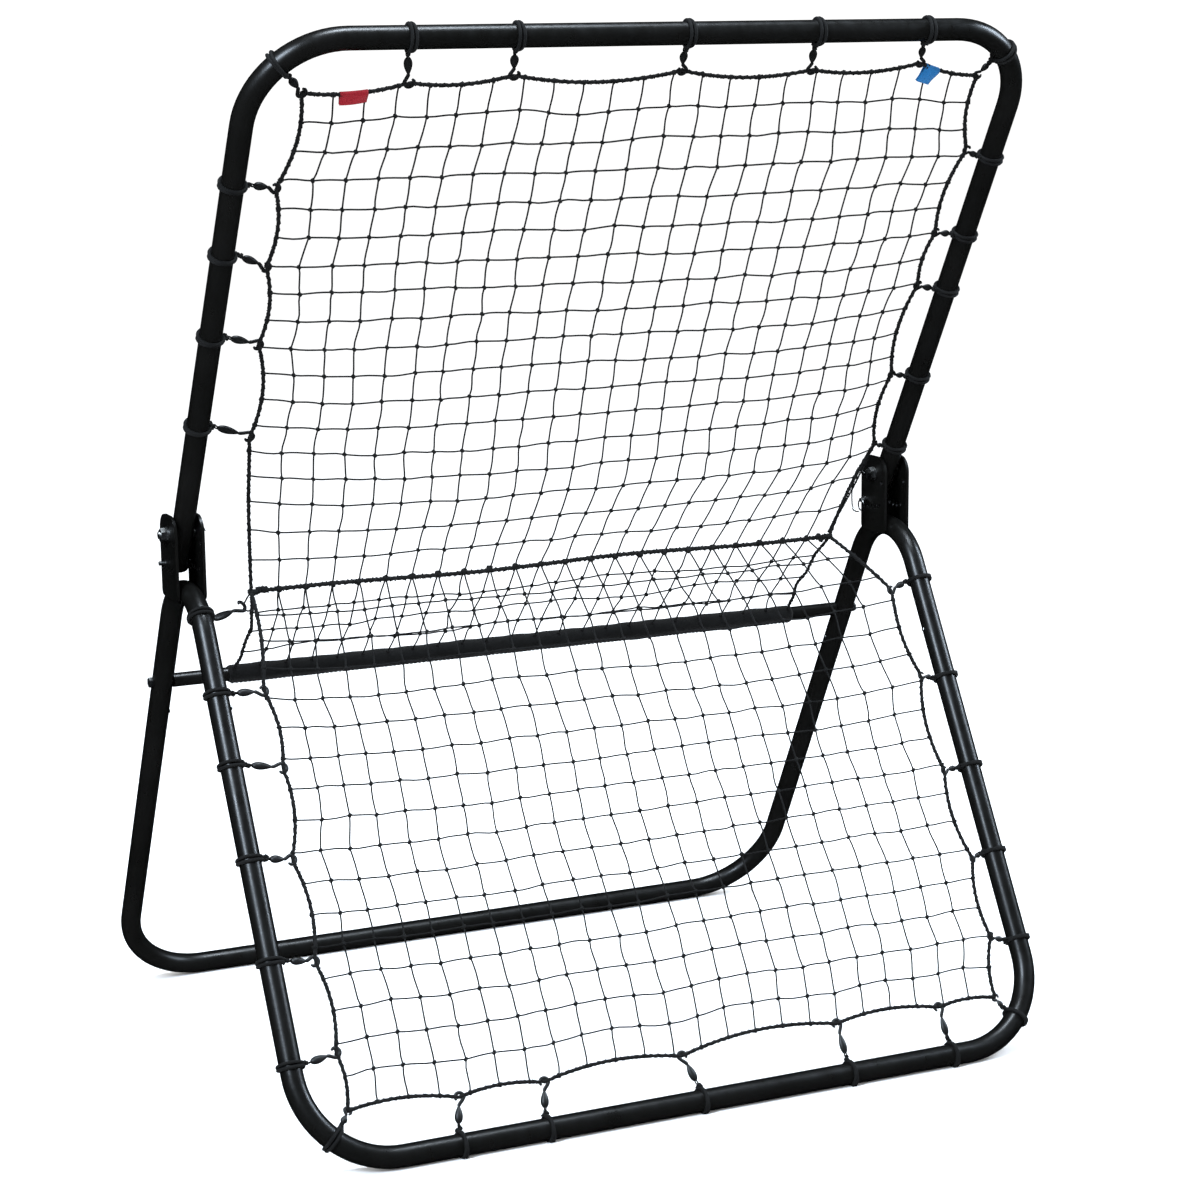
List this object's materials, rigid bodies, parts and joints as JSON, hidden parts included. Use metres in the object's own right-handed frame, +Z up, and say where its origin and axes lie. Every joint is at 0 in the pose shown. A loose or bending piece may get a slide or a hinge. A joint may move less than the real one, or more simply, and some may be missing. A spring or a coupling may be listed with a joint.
{
  "type": "pitch back rebounder",
  "caption": "Folding-angle rebounder: steel A-frame base with a tilting upper frame and one knotted net hung on elastic loops and hooks.",
  "frame": {"origin": "on the floor under the middle of the object's box", "axes": "+X to the right seen from the front, -Y the front that faces the thrower, +Z up"},
  "size_m": [1.1672, 0.898, 1.4414],
  "materials": {
    "black_powder_coat": "semi-gloss black powder coat",
    "zinc_steel": "zinc-plated steel",
    "net_twine": "knotted black nylon twine",
    "edge_cord": "lashed black nylon cord",
    "sleeve_fabric": "woven black polyester",
    "elastic": "black braided elastic",
    "hook_plastic": "moulded black nylon",
    "red_fabric": "woven red tape",
    "blue_fabric": "woven blue tape"
  },
  "bodies": {
    "base": {"anchor_net": "net_twine", "anchor_sleeve": "sleeve_fabric", "apex_tube_left": "black_powder_coat", "apex_tube_right": "black_powder_coat", "bottom_hooks": "hook_plastic", "bottom_loops": "elastic", "bracket_inner_left": "black_powder_coat", "bracket_inner_right": "black_powder_coat", "bracket_outer_left": "black_powder_coat", "bracket_outer_right": "black_powder_coat", "bracket_welds_left": "black_powder_coat", "bracket_welds_right": "black_powder_coat", "crossbar": "black_powder_coat", "crossbar_bolts": "zinc_steel", "crossbar_plugs": "zinc_steel", "fold_cord": "edge_cord", "fold_net": "net_twine", "fold_tie": "edge_cord", "front_bar": "black_powder_coat", "front_corner_left": "black_powder_coat", "front_corner_right": "black_powder_coat", "hinge_bolts": "zinc_steel", "hinge_nuts": "zinc_steel", "hinge_washers_left": "zinc_steel", "hinge_washers_right": "zinc_steel", "lower_edge_cord": "edge_cord", "lower_left_hooks": "hook_plastic", "lower_left_loops": "elastic", "lower_net": "net_twine", "lower_right_hooks": "hook_plastic", "lower_right_loops": "elastic", "pin_tether_left": "zinc_steel", "pin_tether_right": "zinc_steel", "rear_bar": "black_powder_coat", "rear_corner_left": "black_powder_coat", "rear_corner_right": "black_powder_coat", "snap_springs": "zinc_steel"},
    "upper_frame": {"top_bar": "black_powder_coat", "upper_tube_left": "black_powder_coat", "upper_tube_right": "black_powder_coat", "hinge_bushes": "zinc_steel", "upper_net": "net_twine", "upper_edge_cord": "edge_cord", "red_tag": "red_fabric", "blue_tag": "blue_fabric", "top_loops": "elastic", "top_hooks": "hook_plastic", "upper_left_loops": "elastic", "upper_left_hooks": "hook_plastic", "upper_right_loops": "elastic", "upper_right_hooks": "hook_plastic"},
    "lock_pin_left": {"lock_pin_left": "zinc_steel"},
    "lock_pin_right": {"lock_pin_right": "zinc_steel"},
    "snap_button_front_left": {"snap_button_front_left": "zinc_steel"},
    "snap_button_front_right": {"snap_button_front_right": "zinc_steel"},
    "snap_button_rear_left": {"snap_button_rear_left": "zinc_steel"},
    "snap_button_rear_right": {"snap_button_rear_right": "zinc_steel"}
  },
  "joints": [
    {"name": "upper_frame_tilt", "type": "hinge", "parent": "base", "child": "upper_frame", "pos_m": [0, 0.026, 0.765], "axis": [1, 0, 0], "range_deg": [-50, 0], "deforming": ["fold_net", "fold_tie"]},
    {"name": "lock_pin_left_pull", "type": "slide", "parent": "base", "child": "lock_pin_left", "axis": [1, 0, 0], "range_m": [0, 0.06], "deforming": ["pin_tether_left"]},
    {"name": "lock_pin_right_pull", "type": "slide", "parent": "base", "child": "lock_pin_right", "axis": [-1, 0, 0], "range_m": [0, 0.06], "deforming": ["pin_tether_right"]},
    {"name": "snap_button_front_left_press", "type": "slide", "parent": "base", "child": "snap_button_front_left", "axis": [-1, 0, 0], "range_m": [0, 0.0022], "stiffness_N_per_m": 600, "deforming": ["snap_springs"]},
    {"name": "snap_button_front_right_press", "type": "slide", "parent": "base", "child": "snap_button_front_right", "axis": [1, 0, 0], "range_m": [0, 0.0022], "stiffness_N_per_m": 600, "deforming": ["snap_springs"]},
    {"name": "snap_button_rear_left_press", "type": "slide", "parent": "base", "child": "snap_button_rear_left", "axis": [-1, 0, 0], "range_m": [0, 0.0022], "stiffness_N_per_m": 600, "deforming": ["snap_springs"]},
    {"name": "snap_button_rear_right_press", "type": "slide", "parent": "base", "child": "snap_button_rear_right", "axis": [1, 0, 0], "range_m": [0, 0.0022], "stiffness_N_per_m": 600, "deforming": ["snap_springs"]}
  ]
}
